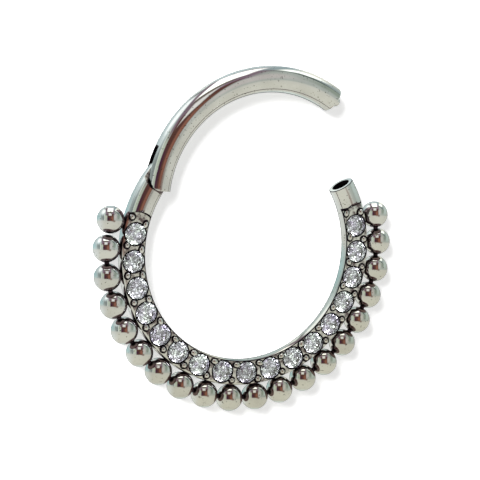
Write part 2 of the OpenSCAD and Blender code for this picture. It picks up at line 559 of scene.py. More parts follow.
def finish_faces(bm: BMesh, face: Face) -> BMesh:
    """Merges doubles, turns the faces outward and gives them one finish.

    Args:
        bm: The closed shape.
        face: The finish of all its faces.

    Returns:
        The same shape.
    """
    bmesh.ops.remove_doubles(bm, verts=bm.verts, dist=HAIR)
    bmesh.ops.recalc_face_normals(bm, faces=bm.faces)
    for f in bm.faces:
        f.material_index = face.value
        f.smooth = True
    return bm


def lathe(profile: Outline, face: Face, steps: int, closed: bool = False) -> BMesh:
    """Turns a profile about +Z into a solid.

    Args:
        profile: Radius and height of each corner, from axis to axis or round a ring's section.
        face: The finish of its faces.
        steps: Number of flats round the axis.
        closed: Whether the last corner joins the first one.

    Returns:
        The solid.
    """
    bm = bmesh.new()
    corners = [bm.verts.new((radius, 0.0, height)) for radius, height in profile]
    following = corners[1:] + corners[:1] if closed else corners[1:]
    edges = [bm.edges.new(pair) for pair in zip(corners, following)]
    bmesh.ops.spin(
        bm, geom=corners + edges, cent=(0, 0, 0), axis=(0, 0, 1),
        angle=math.tau, steps=steps, use_merge=True,
    )
    return finish_faces(bm, face)


def round_arc(
    centre: tuple[float, float], radius: float, start: float, end: float, steps: int,
) -> Outline:
    """Corners of a round stretch of an outline.

    Args:
        centre: The arc's centre.
        radius: Its radius.
        start: Its first angle in degrees.
        end: Its last angle in degrees.
        steps: Number of straight pieces.

    Returns:
        The corners from start to end.
    """
    angles = [math.radians(start + (end - start) * i / steps) for i in range(steps + 1)]
    return [(centre[0] + radius * math.cos(a), centre[1] + radius * math.sin(a)) for a in angles]


def prism(outline: Outline | list[Vector], low: float, high: float, face: Face) -> BMesh:
    """Extrudes a flat outline along +Z.

    Args:
        outline: Corners in order, as pairs or as points whose height is left out.
        low: Height of the bottom.
        high: Height of the top.
        face: The finish of its faces.

    Returns:
        The solid.
    """
    bm = bmesh.new()
    base = bm.faces.new([bm.verts.new((x, y, low)) for x, y, *_ in outline])
    grown = bmesh.ops.extrude_face_region(bm, geom=[base])["geom"]
    top = [v for v in grown if isinstance(v, BMVert)]
    bmesh.ops.translate(bm, verts=top, vec=(0, 0, high - low))
    return finish_faces(bm, face)


def rod(radius: float, low: float, high: float, face: Face, steps: int = 96) -> BMesh:
    """A round rod along +Z.

    Args:
        radius: Its radius.
        low: Height of its bottom.
        high: Height of its top.
        face: The finish of its faces.
        steps: Number of flats round it.

    Returns:
        The solid.
    """
    return lathe([(0, low), (radius, low), (radius, high), (0, high)], face, steps)


def sweep(section: Outline, start: float, end: float, face: Face) -> BMesh:
    """Sweeps a closed section round the eye's centre.

    Args:
        section: Radius and height of the section's corners.
        start: First angle in degrees.
        end: Last angle in degrees.
        face: The finish of its faces.

    Returns:
        The solid, closed at both ends.
    """
    step_deg = 1.25
    bm = bmesh.new()
    base = bm.faces.new([bm.verts.new((radius, 0.0, height)) for radius, height in section])
    bmesh.ops.rotate(bm, verts=bm.verts, cent=(0, 0, 0), matrix=turn_z(start).to_3x3())
    bmesh.ops.spin(
        bm, geom=[base], cent=(0, 0, 0), axis=(0, 0, 1),
        angle=math.radians(end - start), steps=max(2, round((end - start) / step_deg)),
    )
    bmesh.ops.holes_fill(bm, edges=bm.edges, sides=0)
    return finish_faces(bm, face)


def shape_object(name: str, bm: BMesh, finishes: list[Material]) -> Object:
    """Makes an object from a finished shape, still in millimetres.

    Args:
        name: The object's name.
        bm: The shape, which is used up.
        finishes: The material list.

    Returns:
        The object.
    """
    mesh = bpy.data.meshes.new(name)
    bm.to_mesh(mesh)
    bm.free()
    for material in finishes:
        mesh.materials.append(material)
    made = bpy.data.objects.new(name, mesh)
    bpy.context.scene.collection.objects.link(made)
    return made


def discard(unwanted: Object) -> None:
    """Removes a scratch object and its mesh.

    Args:
        unwanted: The object.
    """
    mesh = unwanted.data
    bpy.data.objects.remove(unwanted)
    bpy.data.meshes.remove(mesh)


def combine(target: Object, tool: Object, how: str = "DIFFERENCE") -> None:
    """Cuts a tool out of a solid, or joins or intersects the two, and uses the tool up.

    Args:
        target: The solid that stays.
        tool: The solid that is used up.
        how: DIFFERENCE, UNION or INTERSECT.
    """
    cut = target.modifiers.new("combine", "BOOLEAN")
    cut.operation = how
    cut.solver = "EXACT"
    cut.object = tool
    bpy.context.view_layer.update()
    worked_out = target.evaluated_get(bpy.context.evaluated_depsgraph_get())
    worked = bpy.data.meshes.new_from_object(worked_out)
    target.modifiers.remove(cut)
    old = target.data
    target.data = worked
    worked.name = old.name
    bpy.data.meshes.remove(old)
    discard(tool)


def gather(name: str, parts: list[Object]) -> Object:
    """Puts several shapes with the same material list into one object.

    Args:
        name: The new object's name.
        parts: The shapes, which are used up.

    Returns:
        The joined object.
    """
    bm = bmesh.new()
    for part in parts:
        bm.from_mesh(part.data)
    joined = shape_object(name, bm, list(parts[0].data.materials))
    for part in parts:
        discard(part)
    return joined


@dataclass
class SubAssembly:
    """What all pieces share: the ring's sizes, the finishes and the way into the frame.

    Attributes:
        sizes: The ring's driving sizes.
        lay: Where the eye's centre lies in the frame, in metres.
        finishes: The steel finishes, in the order of Face.
    """

    sizes: RingSizes
    lay: Vector
    finishes: list[Material]

    FLATS = 72  # round the wire

    def settle(self, piece: Object, sharp_deg: float = 28.0) -> None:
        """Moves a piece from millimetres round the eye into the frame, and sets its sharp edges.

        Args:
            piece: The piece, built round the eye's centre.
            sharp_deg: Edges that bend more than this stay sharp.
        """
        piece.data.transform(Matrix.Translation(self.lay) @ Matrix.Scale(MM, 4))
        piece.data.shade_smooth()
        piece.data.set_sharp_from_angle(angle=math.radians(sharp_deg))
        piece.data.update()

    def wire(self, name: str, start: float, end: float) -> Object:
        """A stretch of round wire.

        Args:
            name: The object's name.
            start: First angle.
            end: Last angle.

        Returns:
            The wire.
        """
        s = self.sizes
        section = round_arc((s.mid_r, 0.0), s.wire_r, 0, 360, self.FLATS)[:-1]
        return shape_object(name, sweep(section, start, end, Face.POLISHED), self.finishes)

    def place(self, bm: BMesh, where: Matrix | None = None) -> Object:
        """Makes a shape into an object, to cut with or to gather with others.

        Args:
            bm: The shape, which is used up.
            where: Where it goes, or None to leave it.

        Returns:
            The object, in millimetres.
        """
        if where is not None:
            bmesh.ops.transform(bm, matrix=where, verts=bm.verts)
        return shape_object("shape", bm, self.finishes)

    def end_rounder(self, edge: float, where: Matrix, face: Face) -> Object:
        """The collar that rounds the edge of a wire's end.

        Args:
            edge: Radius of the rounding.
            where: Where the end is, with +Z pointing out of the wire.
            face: The finish of the rounding.

        Returns:
            The cutting tool.
        """
        clear = 0.3
        inner, outer = self.sizes.wire_r - edge, self.sizes.wire_r + clear
        rounding = round_arc((inner, -edge), edge, 0, 90, steps=6)
        profile = [*rounding, (inner, clear), (outer, clear), (outer, -edge)]
        return self.place(lathe(profile, face, self.FLATS, closed=True), where)

    def at_pin(self) -> Matrix:
        """The pin's place, with +Z along it."""
        return Matrix.Translation(self.sizes.pin_at)

    def opened(self) -> Matrix:
        """The turn about the pin that opens the arc as in the photo."""
        return self.at_pin() @ turn_z(self.sizes.open_turn) @ Matrix.Translation(-self.sizes.pin_at)


@dataclass(frozen=True)
class GrainRow:
    """One of the two rows of grains along the stones.

    Attributes:
        out: How far outside the wire's middle line it lies.
        size: Diameter of its grains.
        slant: Degrees that a grain lies past the middle between two stones.
        stretch: A grain's length along the wire over its width.
    """

    out: float
    size: float
    slant: float
    stretch: float


@dataclass
class BeadedBand(SubAssembly):
    """The lower half: milled and drilled wire with the balls, their solder and the setter's grains.

    Attributes:
        over: How far the tools reach past the wire.
        wire_back: Degrees that the wire starts behind the pin.
        hinge_back: Degrees that the cheeks' room starts behind it.
        tongue_lean: Degrees that the tongue's end leans towards the eye.
        tongue_root: Degrees that the tongue reaches past the shoulder.
        hole_turn: Degrees that the pin's hole is turned, to keep its corners off the tongue's.
        floor_in: How far inside the bed's start and end the plain cut of its floor stops.
        line_in: How far inside them the dark line and the lip stop.
        seat_line: Width of the dark ring round each stone, painted shade in its seat.
        seat_tip_r: Radius of the drill's tip at the foot of a seat.
        round_r: Radius of the bed's rounded start.
        round_groove: Width of the groove along that end's foot, dark as a painted shadow line.
        end_groove: Width of the groove along the straight end's foot, dark as a painted shadow line.
        groove_depth: Depth of both grooves.
        step_break: Width of the broken edge on top of both ends.
        rail_line: Distances inside the middle line between which the inner rail's dark line of painted
            shade lies.
        rail_depth: Depth of that line.
        lip_from: How far outside the middle line the polished lip starts.
        lip_slope: How steeply it falls.
        pit_gap: Width of the pit round a grain.
        pit_depth: Its depth.
        pit_foot: How much narrower its foot is, in grain radii.
        grain_rows: The outer and the inner row of grains.
        grain_seed: Seed of what follows from the setter's hand.
        grain_wander: How far a grain may stray along the wire.
        grain_turn: How far it may be turned, in degrees.
        grain_least: Its smallest share of its full size.
        mouth_edge: Radius of the dark rounding at the tube's mouth, a painted shadow line.
        solder_in: How deep the solder reaches into the wire.
        solder_from: Where it starts inside a ball, in ball radii.
        solder_flare: How much wider its ends are than its waist.
    """

    over: float = 0.3
    wire_back: float = 8.0
    hinge_back: float = 15.0
    tongue_lean: float = 1.3
    tongue_root: float = 3.0
    hole_turn: float = 2.0
    floor_in: tuple[float, float] = (0.17, 0.15)
    line_in: tuple[float, float] = (0.21, 0.02)
    seat_line: float = 0.045
    seat_tip_r: float = 0.04
    round_r: float = 1.0
    round_groove: float = 0.05
    end_groove: float = 0.13
    groove_depth: float = 0.06
    step_break: float = 0.09
    rail_line: tuple[float, float] = (0.512, 0.60)
    rail_depth: float = 0.035
    lip_from: float = 0.475
    lip_slope: float = 0.42
    pit_gap: float = 0.05
    pit_depth: float = 0.09
    pit_foot: float = 0.08
    grain_rows: tuple[GrainRow, GrainRow] = (
        GrainRow(out=0.35, size=0.31, slant=-0.8, stretch=1.0),
        GrainRow(out=-0.355, size=0.27, slant=1.04, stretch=1.35),
    )
    grain_seed: int = 7
    grain_wander: float = 0.03
    grain_turn: float = 25.0
    grain_least: float = 0.84
    mouth_edge: float = 0.03
    solder_in: float = 0.12
    solder_from: float = 0.8
    solder_flare: float = 0.18

    def build(self) -> Object:
        """Builds the band as one piece.

        Returns:
            The finished piece, in the frame.
        """
        parts = [self.carved_wire(), *self.balls(), *self.necks(), *self.grains()]
        piece = gather("beaded_band_steel", parts)
        self.settle(piece)
        return piece

    def carved_wire(self) -> Object:
        """The wire with its hinge end, bed, seats and hollow end.

        Returns:
            The carved wire, in millimetres.
        """
        s = self.sizes
        band = self.wire("band_wire", s.pin_angle - self.wire_back, s.tube_end_angle + 360)
        for cutter in (
            self.hinge_tool,
            self.floor_tool,
            self.bed_start_tool,
            self.bed_end_tool,
            self.seat_tool,
            self.pit_tool,
            self.rail_tool,
            self.lip_tool,
            self.bore_tool,
            self.mouth_tool,
        ):
            combine(band, cutter())
        return band

    def along_bed(self, section: Outline, inset: tuple[float, float], face: Face) -> Object:
        """A tool that is swept along the bed.

        Args:
            section: Radius and height of its corners.
            inset: How far inside the bed's start and end it stops.
            face: The finish that it leaves.

        Returns:
            The cutting tool.
        """
        s = self.sizes
        start, end = s.bed_start + s.turn_of(inset[0]), s.bed_end - s.turn_of(inset[1])
        return self.place(sweep(section, start, end, face))

    def floor_tool(self) -> Object:
        """Cuts the bed's floor.

        Returns:
            The cutting tool.
        """
        s = self.sizes
        inner, outer = s.mid_r - s.wire_r - self.over, s.mid_r + s.wire_r + self.over
        top = s.bed_z + s.wire_r
        section = [(inner, s.bed_z), (outer, s.bed_z), (outer, top), (inner, top)]
        return self.along_bed(section, self.floor_in, Face.MILLED)

    def rail_tool(self) -> Object:
        """Scores the fine dark line along the inner rail, painted shade in a shallow cut.

        Returns:
            The cutting tool.
        """
        s = self.sizes
        clear = 0.02
        inner, outer = s.mid_r - self.rail_line[1], s.mid_r - self.rail_line[0]
        deep, top = s.bed_z - self.rail_depth, s.bed_z + clear
        section = [(inner, deep), (outer, deep), (outer, top), (inner, top)]
        return self.along_bed(section, self.line_in, Face.SHADED_HOLLOW)

    def lip_tool(self) -> Object:
        """Breaks the bed's outer edge to a narrow polished slope.

        Returns:
            The cutting tool.
        """
        s = self.sizes
        clear = 0.05
        inner, outer = s.mid_r + self.lip_from, s.mid_r + s.wire_d
        top, foot = s.bed_z + clear * self.lip_slope, s.bed_z - (outer - inner) * self.lip_slope
        section = [(inner - clear, top), (outer, top), (outer, foot)]
        return self.along_bed(section, self.line_in, Face.POLISHED)

    def mouth(self) -> Matrix:
        """The place of the tube's mouth, with +Z pointing into the wire."""
        return along_wire(self.sizes.mid_r, self.sizes.tube_end_angle)

    def bore_tool(self) -> Object:
        """The drill that hollows the tube, its faces dark with painted shade."""
        s = self.sizes
        return self.place(rod(s.bore_d / 2, -self.over, s.bore_depth, Face.SHADED_HOLLOW), self.mouth())

    def mouth_tool(self) -> Object:
        """The collar that rounds the tube's mouth, leaving a dark painted shadow line."""
        return self.end_rounder(self.mouth_edge, self.mouth() @ quarter("X", 2), Face.SHADED_HOLLOW)

    def end_profile(self, groove: float) -> Outline:
        """The cutter's outline at an end of the bed.

        Args:
            groove: Width of the groove along the foot of the step.

        Returns:
            How far past the step, and how high, each corner lies: floor, groove, step, broken edge.
        """
        s = self.sizes
        reach, clear = 0.25, 0.05
        low, rise = s.wire_r - self.step_break, self.step_break + clear
        deep = s.bed_z - self.groove_depth
        return [
            (-reach, s.bed_z), (-groove, s.bed_z), (-groove, deep), (0.0, deep),
            (0.0, low), (rise, low + rise), (-reach, low + rise),
        ]

    def dress_cutter(self, bm: BMesh) -> BMesh:
        """Gives a bed-end cutter's faces their finish: groove dark with painted shade, milled floor,
        polished edge.

        Args:
            bm: The cutter's shape, milled all over.

        Returns:
            The same shape.
        """
        s = self.sizes
        slack = 1e-3
        for face in bm.faces:
            height = face.calc_center_median().z
            if height < s.bed_z - slack:
                face.material_index = Face.SHADED_HOLLOW.value
            elif height > s.wire_r - self.step_break + slack:
                face.material_index = Face.POLISHED.value
        return bm

    def bed_start_tool(self) -> Object:
        """The rounded end that the cutter leaves at the bed's start.

        Returns:
            The cutting tool.
        """
        s = self.sizes
        profile = self.end_profile(self.round_groove)
        section = [(self.round_r + past, height) for past, height in profile]
        first, last = -135, -45  # the quarter of the cutter's round that faces back along the wire
        bm = self.dress_cutter(sweep(section, first, last, Face.MILLED))
        return self.place(bm, off_centre(s.bed_start + s.turn_of(self.round_r), s.mid_r))

    def bed_end_tool(self) -> Object:
        """The straight step at the bed's far end.

        Returns:
            The cutting tool.
        """
        s = self.sizes
        bm = prism(self.end_profile(self.end_groove), -s.wire_d, s.wire_d, Face.MILLED)
        # the outline's X runs along the wire, its Y up and the prism's length across the wire
        upright = Matrix(((0, 0, 1, s.mid_r), (1, 0, 0, 0), (0, 1, 0, 0), (0, 0, 0, 1)))
        bmesh.ops.transform(bm, matrix=upright, verts=bm.verts)
        return self.place(self.dress_cutter(bm), turn_z(s.bed_end))

    def cheek_solid(self) -> Object:
        """The room that the arc's cheeks take up on the band.

        Returns:
            A tall solid, in millimetres.
        """
        s = self.sizes
        inner, outer = s.mid_r - 2 * s.wire_r, s.mid_r + 2 * s.wire_r
        back, stop = s.pin_angle - self.hinge_back, s.shoulder_angle + s.turn_of(s.close_gap)
        outline = [
            polar(inner, stop),
            polar(s.corner_circle_r, stop),
            polar(s.corner_circle_r, s.corner_angle),
            polar(outer, s.corner_angle),
            polar(outer, back),
            polar(inner, back),
        ]
        room = self.place(prism(outline, -THROUGH, THROUGH, Face.SHADED_HOLLOW))
        corner = rod(s.cheek_corner_r + s.close_gap, -THROUGH, THROUGH, Face.SHADED_HOLLOW)
        where = Matrix.Translation(polar(s.corner_circle_r, s.corner_angle))
        combine(room, self.place(corner, where), "UNION")
        return room

    def hinge_tool(self) -> Object:
        """Everything cut away round the hinge's tongue; the faces it leaves, save the tongue's own, are
        dark with painted shade.

        Returns:
            The cutting tool.
        """
        s = self.sizes
        half = s.tongue_w / 2
        inner, outer = s.mid_r - 2.5 * s.wire_r, s.mid_r + 2.5 * s.wire_r
        root = s.shoulder_angle + self.tongue_root
        outline = [
            polar(inner, s.pin_angle + self.tongue_lean),
            polar(outer, s.pin_angle),
            polar(outer, root),
            polar(inner, root),
        ]
        tongue = self.place(prism(outline, -half, half, Face.MILLED))
        eye = rod(s.tongue_r, -half, half, Face.MILLED)
        combine(tongue, self.place(eye, self.at_pin()), "UNION")
        hole = rod(s.pin_d / 2 + s.hinge_gap, -THROUGH, THROUGH, Face.SHADED_HOLLOW, steps=48)
        combine(tongue, self.place(hole, self.at_pin() @ turn_z(self.hole_turn)))
        room = self.cheek_solid()
        combine(room, tongue)
        return room

    def seat_tool(self) -> Object:
        """All the stones' seats in one tool, their faces dark with painted shade.

        Returns:
            The cutting tool.
        """
        s = self.sizes
        shelf = s.bed_z - s.girdle_sink - s.seat_gap
        tip = shelf - s.stone_d * s.pavilion_share - 2 * s.seat_gap
        mouth = s.seat_r + self.seat_line
        profile = [(0, tip), (self.seat_tip_r, tip), (mouth, shelf), (mouth, s.wire_r), (0, s.wire_r)]
        seats = []
        for i in range(s.stone_count):
            where = off_centre(s.stone_start + i * s.stone_pitch, s.mid_r)
            seats.append(self.place(lathe(profile, Face.SHADED_HOLLOW, steps=64), where))
        return gather("seat_tool", seats)

    def grain_places(self) -> list[Matrix]:
        """Where each grain stands, and its size.

        They are raised by hand, so no two are alike, and the inner ones are pushed long.

        Returns:
            The place, turn and half sizes of each grain, from a ball of radius 1.
        """
        s = self.sizes
        hand = random.Random(self.grain_seed)
        places = []
        for i in range(s.stone_count + 1):
            for row in self.grain_rows:
                wander = hand.uniform(-self.grain_wander, self.grain_wander)
                angle = s.stone_start + (i - 0.5) * s.stone_pitch + row.slant + s.turn_of(wander)
                halves = [hand.uniform(self.grain_least, 1.0) * row.size / 2 for _ in range(3)]
                own_turn = hand.uniform(-self.grain_turn, self.grain_turn)
                where = off_centre(angle, s.mid_r + row.out, s.bed_z) @ turn_z(own_turn)
                halves[1] *= row.stretch
                places.append(where @ Matrix.Diagonal((*halves, 1.0)))
        return places

    def pit_tool(self) -> Object:
        """The little pits that the graver leaves round the grains, dark with painted shade.

        Returns:
            The cutting tool.
        """
        # the places stretch each pit with its grain, so its profile is in grain radii
        grain_r = self.grain_rows[-1].size / 2
        outer, depth, top = 1 + self.pit_gap / grain_r, self.pit_depth / grain_r, self.over / grain_r
        profile = [(0, -depth), (outer - self.pit_foot, -depth), (outer, 0.0), (outer, top), (0, top)]
        places = self.grain_places()
        return gather("pit_tool", [self.place(lathe(profile, Face.SHADED_HOLLOW, steps=24), at) for at in places])

    def ball(self, radius: float, where: Matrix, around: int, rings: int) -> Object:
        """A polished ball.

        Args:
            radius: Its radius.
            where: Its place and, for a grain, its half sizes.
            around: Number of its meridians.
            rings: Number of its rings.

        Returns:
            The ball.
        """
        bm = bmesh.new()
        bmesh.ops.create_uvsphere(bm, u_segments=around, v_segments=rings, radius=radius)
        return self.place(finish_faces(bm, Face.POLISHED), where)

    def balls(self) -> list[Object]:
        """The row of polished balls.

        Returns:
            One sphere for each ball.
        """
        s = self.sizes
        places = [off_centre(s.ball_start + i * s.ball_pitch, s.ball_circle_r) for i in range(s.ball_count)]
        return [self.ball(s.ball_r, where, around=48, rings=28) for where in places]

    def grains(self) -> list[Object]:
        """The pairs of grains raised between the stones.

        Returns:
            One low dome for each grain.
        """
        return [self.ball(1.0, where, around=24, rings=16) for where in self.grain_places()]

    def necks(self) -> list[Object]:
        """The solder between balls and wire and from ball to ball.

        Returns:
            One collar for each soldered place.
        """
        s = self.sizes
        made = []
        inside = s.ball_r * self.solder_from
        for i in range(s.ball_count):
            collar = self.collar(s.solder_d / 2, s.outer_r - self.solder_in, s.ball_circle_r - inside)
            made.append(self.place(collar, turn_z(s.ball_start + i * s.ball_pitch) @ quarter("Y")))
        half_pitch = math.radians(s.ball_pitch / 2)
        half_gap = s.ball_circle_r * math.sin(half_pitch) - inside
        # the first ball is soldered to the wire alone
        for i in range(1, s.ball_count - 1):
            angle = s.ball_start + (i + 0.5) * s.ball_pitch
            centre = Matrix.Translation(polar(s.ball_circle_r * math.cos(half_pitch), angle))
            collar = self.collar(s.ball_neck_d / 2, -half_gap, half_gap)
            made.append(self.place(collar, centre @ turn_z(angle) @ quarter("X", -1)))
        return made

    def collar(self, waist: float, low: float, high: float) -> BMesh:
        """A solder collar with a drawn-in waist.

        Args:
            waist: Radius of its waist.
            low: Height of one end.
            high: Height of the other end.

        Returns:
            The solid, along +Z.
        """
        rings = 6
        profile = [(0.0, low)]
        for i in range(rings + 1):
            t = i / rings
            profile.append((waist * (1 + self.solder_flare * (2 * t - 1) ** 2), low + (high - low) * t))
        profile.append((0.0, high))
        return lathe(profile, Face.SOLDER, steps=24)


@dataclass
class ClosingArc(SubAssembly):
    """The plain arc with its slotted hinge end and its nub, swung open about the pin.

    Attributes:
        pin_line: Width of the line round the pin.
        slot_reach: How far from the pin the slot runs, out past the cheeks' ends and to both sides.
        cheek_edge: Width of the polished line on the cheeks' rims.
        cheek_reach: How far from the pin those rims lie at most.
        cheek_bend: How sharp they are at least, in degrees.
    """

    pin_line: float = 0.002
    slot_reach: tuple[float, float] = (2.5, 3.0)
    cheek_edge: float = 0.03
    cheek_reach: float = 1.3
    cheek_bend: float = 50.0

    def build(self) -> Object:
        """Builds the arc.

        Returns:
            The finished piece, in the frame.
        """
        s = self.sizes
        arc = self.wire("arc_wire", s.tip_angle, s.shoulder_angle)
        combine(arc, self.corner_tool())
        combine(arc, self.slot_tool())
        self.soften_cheeks(arc)
        # the pin's hole through the arc is dark with painted shade
        hole = rod(s.pin_d / 2 + self.pin_line, -THROUGH, THROUGH, Face.SHADED_HOLLOW, steps=64)
        combine(arc, self.place(hole, self.at_pin()))
        combine(arc, self.end_rounder(s.tip_edge, along_wire(s.mid_r, s.tip_angle), Face.POLISHED))
        piece = gather("closing_arc_steel", [arc, self.nub()])
        piece.data.transform(self.opened())
        self.settle(piece)
        return piece

    def corner_tool(self) -> Object:
        """What rounds the cheeks' outer corner.

        Returns:
            The cutting tool.
        """
        s = self.sizes
        outer, past = s.mid_r + 2 * s.wire_r, s.shoulder_angle + 2
        outline = [
            polar(s.corner_circle_r, s.corner_angle),
            polar(s.corner_circle_r, past),
            polar(outer, past),
            polar(outer, s.corner_angle),
        ]
        waste = self.place(prism(outline, -THROUGH, THROUGH, Face.POLISHED))
        tall = 1.5 * THROUGH
        corner = rod(s.cheek_corner_r, -tall, tall, Face.POLISHED, steps=128)
        combine(waste, self.place(corner, Matrix.Translation(polar(s.corner_circle_r, s.corner_angle))))
        return waste

    def slot_tool(self) -> Object:
        """The saw cut between the cheeks, its faces dark with painted shade.

        Returns:
            The cutting tool.
        """
        s = self.sizes
        back, side = self.slot_reach
        outline = [(-back, -side), (s.slot_floor_d, -side), (s.slot_floor_d, side), (-back, side)]
        slot = prism(outline, -s.slot_w / 2, s.slot_w / 2, Face.SHADED_HOLLOW)
        return self.place(slot, self.at_pin() @ turn_z(s.slot_floor_turn))

    def at_cheek(self, edge: BMEdge) -> bool:
        """Tells whether an edge is the rim of a cheek's end.

        Args:
            edge: An edge of the slotted arc.

        Returns:
            Whether it is.
        """
        middle = (edge.verts[0].co + edge.verts[1].co) / 2
        polished = {face.material_index for face in edge.link_faces} == {Face.POLISHED.value}
        near_pin = (middle - self.sizes.pin_at).length < self.cheek_reach
        return (
            near_pin and polished and edge.is_manifold
            and edge.calc_face_angle() > math.radians(self.cheek_bend)
        )

    def soften_cheeks(self, arc: Object) -> None:
        """Rounds the rims of the cheeks' ends with a narrow polished line.

        Args:
            arc: The slotted arc, changed in place.
        """
        bm = bmesh.new()
        bm.from_mesh(arc.data)
        rims = [edge for edge in bm.edges if self.at_cheek(edge)]
        bmesh.ops.bevel(
            bm, geom=rims, offset=self.cheek_edge, offset_type="OFFSET", segments=3, profile=0.5,
            affect="EDGES", material=Face.POLISHED.value, clamp_overlap=True,
        )
        LOG.info("%s: softened %d edges", arc.name, len(rims))
        bm.to_mesh(arc.data)
        bm.free()

    def nub(self) -> Object:
        """The domed nub on the tip.

        Returns:
            The nub, in millimetres, with the arc closed.
        """
        s = self.sizes
        radius = s.nub_d / 2
        dome = round_arc((0.0, s.nub_length - radius), radius, 0, 90, steps=10)
        dome[-1] = (0.0, s.nub_length)
        bm = lathe([(0, -s.nub_root), (radius, -s.nub_root), *dome], Face.POLISHED, steps=48)
        return self.place(bm, along_wire(s.mid_r + s.nub_out, s.tip_angle))


@dataclass
class HingePin(SubAssembly):
    """The pin, filed flush with the round of the wire.

    Attributes:
        beside: Degrees of wire on both sides of the pin that it is cut from.
    """

    beside: float = 6.0

    def build(self) -> Object:
        """Builds the pin.

        Returns:
            The finished piece, in the frame.
        """
        s = self.sizes
        pin = self.wire("hinge_pin_steel", s.pin_angle - self.beside, s.pin_angle + self.beside)
        core = rod(s.pin_d / 2, -THROUGH, THROUGH, Face.POLISHED, steps=64)
        combine(pin, self.place(core, self.at_pin()), "INTERSECT")
        pin.data.transform(self.opened())
        self.settle(pin)
        return pin


class PanelShape(Enum):
    """Outline of a light or dark place in the room that the steel mirrors."""

    BOX = "box"
    OVAL = "oval"


OVAL = PanelShape.OVAL


@dataclass(frozen=True)
class RoomPanel:
    """One light or dark place in the room, placed by where a polished ball shows it to the camera.

    Attributes:
        at: Right and up from the ball's middle, in ball radii.
        half: Half of its width and height, in ball radii.
        colour: Its colour as the ball shows it.
        level: How much brighter than that colour it is.
        turn: Degrees that it is turned anticlockwise.
        soft: Share of the half size over which its edge fades.
        shape: Its outline.
    """

    at: tuple[float, float]
    half: tuple[float, float]
    colour: str
    level: float = 1.0
    turn: float = 0.0
    soft: float = 0.35
    shape: PanelShape = PanelShape.BOX


